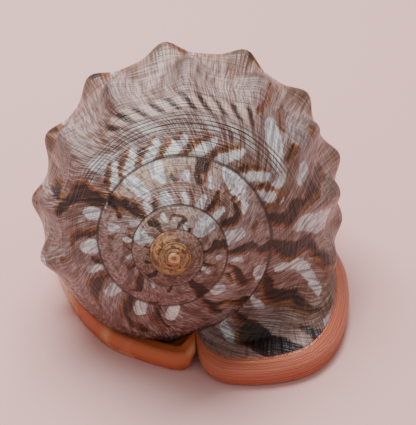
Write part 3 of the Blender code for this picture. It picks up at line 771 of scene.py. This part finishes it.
def shell_sheets():
    """The sheets of the surface, from the spire to the nucleus."""
    first = NOTCH_ANGLE - 360.0 * (SPIRE_TURNS + 1)
    angles = first + COLUMN_STEP * np.arange(SPIRE_TURNS * TURN_COLUMNS + 1)
    rows = np.linspace(0, 1, RAMP_ROWS + 1)
    side_rows = np.linspace(1, 2, SIDE_ROWS + 1)
    a, r = np.meshgrid(angles, rows)
    spire = plain(a, r)
    sheets = [sheet("spire", spire, layers_for(a, r, 0.0 * a, 0.0 * a))]

    for name, values, skip in (("ramp", rows, SHIELD_COLUMNS), ("side", side_rows, 0)):
        turn = [last_turn(row) for row in values]
        points = np.array([p[skip:] for p, _, _ in turn])
        a = np.array([g[skip:] for _, g, _ in turn])
        glaze = np.array([g[skip:] for _, _, g in turn])
        r = np.repeat(values[:, None], a.shape[1], axis=1)
        lip = np.broadcast_to(np.arange(a.shape[1])[None, :] > a.shape[1] / 2, a.shape) * 1.0
        sheets.append(sheet(name, points, layers_for(a, r, glaze, lip)))

    rings, ridges, slot, on_lip = underside(np.concatenate([rows, side_rows[1:]]))
    k = np.repeat(np.arange(len(rings))[:, None] / slot, rings.shape[1], axis=1)
    i = np.repeat(np.arange(rings.shape[1])[None, :] / rings.shape[1], len(rings), axis=0)
    lip = np.broadcast_to(on_lip, k.shape) * 1.0
    blank = np.zeros((*k.shape, 4))
    fields = np.stack([0.0 * k, 0.0 * k, np.clip(ridges, 0, 1), np.clip(-ridges, 0, 1)], -1)
    growth, place_uv = np.stack([i, 3.0 + k], -1), np.stack([1.0 + k, lip], -1)
    layers = {"growth": growth, "place": place_uv, "ground": blank, "fields": fields, "bands": blank}
    sheets.append(sheet("underside", rings, layers))

    # The nucleus closes the spiral's beginning
    rim = np.vstack([spire[0, :TURN_COLUMNS + 1], spire[RAMP_ROWS - 1:0:-1, 0], spire[0, :1]])
    middle = rim.mean(axis=0)
    dome = []
    for w in np.linspace(0, 1, NUCLEUS_RINGS):
        p = rim * (1 - w) + middle * w
        dome.append(p + NUCLEUS_RISE * (1 - (1 - w) ** 2))
    dome = np.array(dome)
    a = np.broadcast_to(first - 360.0 * np.linspace(0, 1, NUCLEUS_RINGS)[:, None], dome.shape[:2])
    sheets.append(sheet("nucleus", dome, layers_for(a, 0.0 * a + 0.5, 0.0 * a, 0.0 * a)))
    return sheets


def shell_piece():
    """The sheets, joined and welded into one closed shell."""
    sheets = shell_sheets()
    bpy.ops.object.select_all(action="DESELECT")
    for piece in sheets:
        piece.select_set(True)
    bpy.context.view_layer.objects.active = sheets[0]
    bpy.ops.object.join()
    shell = bpy.context.object
    shell.name = "dressed_shell"
    bpy.ops.object.mode_set(mode="EDIT")
    bpy.ops.mesh.select_all(action="SELECT")
    bpy.ops.mesh.remove_doubles(threshold=WELD_DISTANCE)
    bpy.ops.mesh.dissolve_degenerate(threshold=SPECK_LENGTH)
    bpy.ops.mesh.normals_make_consistent(inside=False)
    bpy.ops.object.mode_set(mode="OBJECT")
    bpy.ops.object.shade_smooth()
    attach(shell, "root")
    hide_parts("helmet_shell")
    return shell


def studio():
    """The camera of the photograph, the paper under the shell and the soft light of a room."""
    bpy.ops.object.select_all(action="DESELECT")
    bpy.ops.object.camera_add(location=CAMERA_PLACE, rotation=[math.radians(turn) for turn in CAMERA_TURN])
    camera = bpy.context.object
    camera.data.lens = CAMERA_LENS
    camera.data.sensor_width = SENSOR_WIDTH
    camera.data.clip_start = 0.01
    bpy.context.scene.camera = camera

    bpy.ops.object.select_all(action="DESELECT")
    bpy.ops.mesh.primitive_plane_add(size=FLOOR_SIZE, location=(0, 0, 0))
    floor = bpy.context.object
    floor.name = "paper_floor"
    paper = bpy.data.materials.new("pale rose paper")
    paper.use_nodes = True
    surface = paper.node_tree.nodes["Principled BSDF"]
    surface.inputs["Base Color"].default_value = PAPER_COLOUR
    surface.inputs["Roughness"].default_value = PAPER_ROUGHNESS
    floor.data.materials.append(paper)

    world = bpy.data.worlds.new("soft room")
    world.use_nodes = True
    room = world.node_tree.nodes["Background"]
    room.inputs["Color"].default_value = ROOM_COLOUR
    room.inputs["Strength"].default_value = ROOM_STRENGTH
    bpy.context.scene.world = world

    bpy.ops.object.light_add(type="AREA", location=KEY_PLACE)
    key = bpy.context.object
    key.data.shape = "RECTANGLE"
    key.data.size, key.data.size_y = KEY_SIZE
    key.data.energy = KEY_POWER
    key.rotation_euler = (Vector(KEY_TARGET) - key.location).to_track_quat("-Z", "Y").to_euler()


class Glaze:
    """Short ways to lay the nodes of a finish."""

    def __init__(self, name):
        self.material = bpy.data.materials.new(name)
        self.material.use_nodes = True
        self.tree = self.material.node_tree
        self.surface = self.tree.nodes["Principled BSDF"]

    def node(self, kind, **settings):
        new = self.tree.nodes.new(kind)
        for key, value in settings.items():
            setattr(new, key, value)
        return new

    def feed(self, socket, value):
        if isinstance(value, bpy.types.NodeSocket):
            self.tree.links.new(value, socket)
        else:
            socket.default_value = value

    def math(self, operation, a, b=0.0):
        new = self.node("ShaderNodeMath", operation=operation)
        self.feed(new.inputs[0], a)
        self.feed(new.inputs[1], b)
        return new.outputs[0]

    def add(self, total, *values):
        for value in values:
            total = self.math("ADD", total, value)
        return total

    def mul(self, product, *values):
        for value in values:
            product = self.math("MULTIPLY", product, value)
        return product

    def swing(self, noise, amount):
        """A noise as a shift to either side of zero."""
        return self.mul(self.math("SUBTRACT", noise, 0.5), amount)

    def edge(self, value, start, end):
        """0 below start, 1 above end, smooth between."""
        new = self.node("ShaderNodeMapRange", interpolation_type="SMOOTHSTEP")
        self.feed(new.inputs["Value"], value)
        new.inputs["From Min"].default_value = start
        new.inputs["From Max"].default_value = end
        return new.outputs[0]

    def mix(self, amount, a, b):
        new = self.node("ShaderNodeMix", data_type="RGBA")
        self.feed(new.inputs["Factor"], amount)
        for socket, value in ((new.inputs[6], a), (new.inputs[7], b)):
            self.feed(socket, value if isinstance(value, bpy.types.NodeSocket) else (*paint(*value), 1.0))
        return new.outputs[2]

    def noise(self, vector, scale, detail=2.0, rough=0.5):
        new = self.node("ShaderNodeTexNoise", noise_dimensions="3D")
        self.feed(new.inputs["Vector"], vector)
        new.inputs["Scale"].default_value = scale
        new.inputs["Detail"].default_value = detail
        new.inputs["Roughness"].default_value = rough
        return new.outputs["Fac"]

    def stretched(self, vector, x, y):
        new = self.node("ShaderNodeMapping")
        self.feed(new.inputs["Vector"], vector)
        new.inputs["Scale"].default_value = (x, y, 1.0)
        return new.outputs[0]

    def layer(self, name):
        return self.node("ShaderNodeAttribute", attribute_type="GEOMETRY", attribute_name=name)

    def parts(self, socket):
        new = self.node("ShaderNodeSeparateXYZ")
        self.feed(new.inputs[0], socket)
        return new.outputs[0], new.outputs[1], new.outputs[2]


class Coordinates:
    """What the finish reads from the mesh, and the noises that its markings and its relief share."""

    def __init__(self, g):
        growth = g.node("ShaderNodeUVMap", uv_map="growth").outputs[0]
        fields, bands = g.layer("fields"), g.layer("bands")
        self.position = g.node("ShaderNodeTexCoord").outputs["Object"]
        self.turn, self.row, _ = g.parts(growth)
        self.glaze, self.lip, _ = g.parts(g.node("ShaderNodeUVMap", uv_map="place").outputs[0])
        self.brown, self.dark, self.pale = g.parts(fields.outputs["Vector"])
        # The fourth field holds painted shade on one side of each knob, and on the underside the dark gaps
        # between the teeth
        self.caps = fields.outputs["Alpha"]
        self.hatch, self.slugs, self.tip = g.parts(bands.outputs["Vector"])
        self.ground = g.layer("ground").outputs["Color"]

        # Growth lines run across the turn, spiral threads along it
        self.lines = g.noise(g.stretched(growth, 95.0, 3.0), 1.0, 2.0, 0.6)
        self.fine_lines = g.noise(g.stretched(growth, 260.0, 6.0), 1.0, 1.0, 0.5)
        self.wide_lines = g.noise(g.stretched(growth, 26.0, 2.2), 1.0, 2.0)
        self.threads = g.noise(g.stretched(growth, 4.0, 30.0), 1.0, 2.0, 0.6)
        self.fine_threads = g.noise(g.stretched(growth, 9.0, 75.0), 1.0, 1.0, 0.5)
        self.ring_lines = g.noise(g.stretched(growth, 5.0, 110.0), 1.0, 2.0, 0.6)
        self.blot = g.noise(self.position, 210.0, 3.0, 0.6)
        self.ragged = g.add(g.swing(self.lines, 0.55), g.swing(self.blot, 0.5), g.swing(self.threads, 0.35))


def body_colour(g, at):
    """The outside: ground, painted shade on the knobs, pale patches, hatched band, dashes, brown bars, fine
    lines, tip and painted shade along the sutures.
    """
    colour = g.mix(g.mul(g.edge(at.fine_lines, 0.46, 0.62), 0.42), at.ground, LIGHT_LINE)
    colour = g.mix(g.mul(g.edge(at.lines, 0.50, 0.64), 0.5), colour, DARK_LINE)
    colour = g.mix(g.mul(g.edge(at.wide_lines, 0.50, 0.64), 0.62), colour, BROWN_LINE)
    # Painted shade on one side of each knob
    colour = g.mix(g.mul(at.caps, 0.8), colour, KNOB_SHADE)

    white = g.mix(g.edge(at.lines, 0.44, 0.60), *WHITE_PATCH)
    colour = g.mix(g.edge(g.add(at.pale, at.ragged), 0.42, 0.60), colour, white)

    # The cross-hatched band and the row of slanting dashes above it
    spiral = g.math("SINE", g.mul(at.row, 2 * math.pi / HATCH_STEP))
    grid = g.edge(g.add(spiral, g.mul(at.ragged, 2.5)), 0.1, 0.9)
    flecks = g.mul(at.hatch, g.edge(g.add(at.wide_lines, g.mul(at.ragged, 0.25)), 0.52, 0.58))
    colour = g.mix(g.mul(flecks, 0.75), colour, HATCH_FLECK)
    colour = g.mix(g.mul(at.hatch, grid, 0.8), colour, HATCH_LINE)
    slant = g.add(at.turn, g.mul(at.row, DASH_SLANT))
    dash = g.add(g.math("SINE", g.mul(slant, 2 * math.pi / DASH_STEP)), g.mul(at.ragged, 1.6))
    colour = g.mix(g.mul(at.slugs, g.edge(dash, -0.2, 0.5), 0.85), colour, DASH_PALE)
    colour = g.mix(g.mul(at.slugs, g.edge(dash, -0.3, -0.95)), colour, DASH_DARK)

    # Brown bars, golden along their right edges and nearly black by the lip
    gold = g.mix(g.edge(at.lines, 0.4, 0.6), *GOLD_EDGE)
    deep = g.mix(g.edge(at.lines, 0.40, 0.62), *DEEP_BROWN)
    colour = g.mix(g.edge(g.add(at.brown, at.ragged), 0.38, 0.62), colour, gold)
    colour = g.mix(g.edge(g.add(at.dark, at.ragged), 0.40, 0.72), colour, deep)
    near_lip = g.mul(g.edge(at.turn, 3.97, 4.03), g.edge(at.row, 0.26, 0.42))
    near_lip = g.mul(near_lip, g.edge(g.add(at.brown, g.swing(at.blot, 0.4)), 0.5, 0.62))
    colour = g.mix(g.mul(near_lip, 0.92), colour, NEAR_BLACK)

    # Fine lines over everything
    fine_across = g.mul(g.edge(at.fine_lines, 0.44, 0.36), 0.5)
    fine_along = g.mul(g.edge(at.fine_threads, 0.44, 0.36), 0.45)
    colour = g.mix(g.mul(g.math("MAXIMUM", fine_across, fine_along), 0.8), colour, FINE_LINE)
    deeper = g.node("ShaderNodeGamma")
    g.feed(deeper.inputs["Color"], colour)
    deeper.inputs["Gamma"].default_value = BODY_GAMMA
    colour = deeper.outputs[0]

    # Dots on the tip of the spire, more of them near the seam
    dots = g.add(g.noise(at.position, 620.0, 2.0, 0.5), g.mul(g.edge(at.row, 0.6, 0.1), 0.10))
    colour = g.mix(g.mul(at.tip, g.edge(dots, 0.60, 0.68)), colour, TIP_DOT)

    # Painted shade lies along the sutures in a thin dark line, which ends where the turn leaves the spire
    suture_shade = g.mul(g.edge(at.row, 0.95, 0.985), g.edge(at.row, 1.01, 1.0), g.edge(at.turn, 2.16, 2.12))
    suture_shade = g.math("MAXIMUM", suture_shade, g.edge(at.row, 0.03, 0.005))
    return g.mix(g.mul(suture_shade, 0.8), colour, SUTURE_SHADE)


def glazed_colour(g, at, colour):
    """The colour with the glazed edges and the underside laid over it, and where the glaze lies."""
    on_shield = g.math("SUBTRACT", 1.0, at.lip)
    lip_tint = g.mix(g.edge(at.ring_lines, 0.4, 0.62), *LIP_GLAZE)
    shield_tint = g.mix(g.edge(g.noise(at.position, 38.0, 2.0), 0.48, 0.64), *SHIELD_GLAZE)
    rim = g.mix(at.lip, shield_tint, lip_tint)
    rim_on_lip = g.mul(g.edge(g.add(at.glaze, g.mul(at.ragged, 0.10)), 0.90, 0.94), at.lip)
    rim_on_shield = g.mul(g.edge(g.add(at.glaze, g.mul(at.ragged, 0.3)), 0.38, 0.5), on_shield)
    enamel = g.add(rim_on_lip, rim_on_shield)
    # Painted shade in the crevice where the shield's flange meets the body
    colour = g.mix(g.mul(g.edge(at.glaze, 0.02, 0.2), on_shield), colour, SHIELD_CREVICE_SHADE)
    colour = g.mix(enamel, colour, rim)

    # Cream ridges and dark gaps beside the mouth, and the pale inside
    below = g.edge(at.glaze, 1.2, 1.3)
    colour = g.mix(g.edge(at.glaze, 1.70, 2.0), colour, MOUTH_INSIDE)
    colour = g.mix(g.mul(below, g.edge(at.pale, 0.05, 0.6)), colour, TOOTH)
    colour = g.mix(g.mul(below, g.edge(at.caps, 0.35, 0.8)), colour, TOOTH_GAP)
    return colour, enamel


def shell_finish(shell):
    """The mottled glaze of the whole shell: colour, gloss and fine relief."""
    g = Glaze("mottled glaze")
    at = Coordinates(g)
    colour, enamel = glazed_colour(g, at, body_colour(g, at))
    g.feed(g.surface.inputs["Base Color"], colour)

    rough = g.math("SUBTRACT", BODY_ROUGHNESS, g.mul(enamel, ENAMEL_SMOOTHING))
    g.feed(g.surface.inputs["Roughness"], g.add(rough, g.swing(at.blot, 0.2)))

    coarse = g.add(g.mul(at.lines, 0.5), g.mul(at.threads, 0.9))
    relief = g.add(coarse, g.add(g.mul(at.fine_lines, 0.25), g.mul(at.fine_threads, 0.25)))
    relief = g.mul(relief, g.math("SUBTRACT", 1.0, enamel))
    relief = g.add(relief, g.mul(at.ring_lines, enamel, 0.35))
    bump = g.node("ShaderNodeBump")
    bump.inputs["Strength"].default_value = RELIEF_STRENGTH
    bump.inputs["Distance"].default_value = RELIEF_DEPTH
    g.feed(bump.inputs["Height"], relief)
    g.feed(g.surface.inputs["Normal"], bump.outputs[0])
    shell.data.materials.append(g.material)


def main():
    studio()
    shell = shell_piece()
    shell_finish(shell)


main()
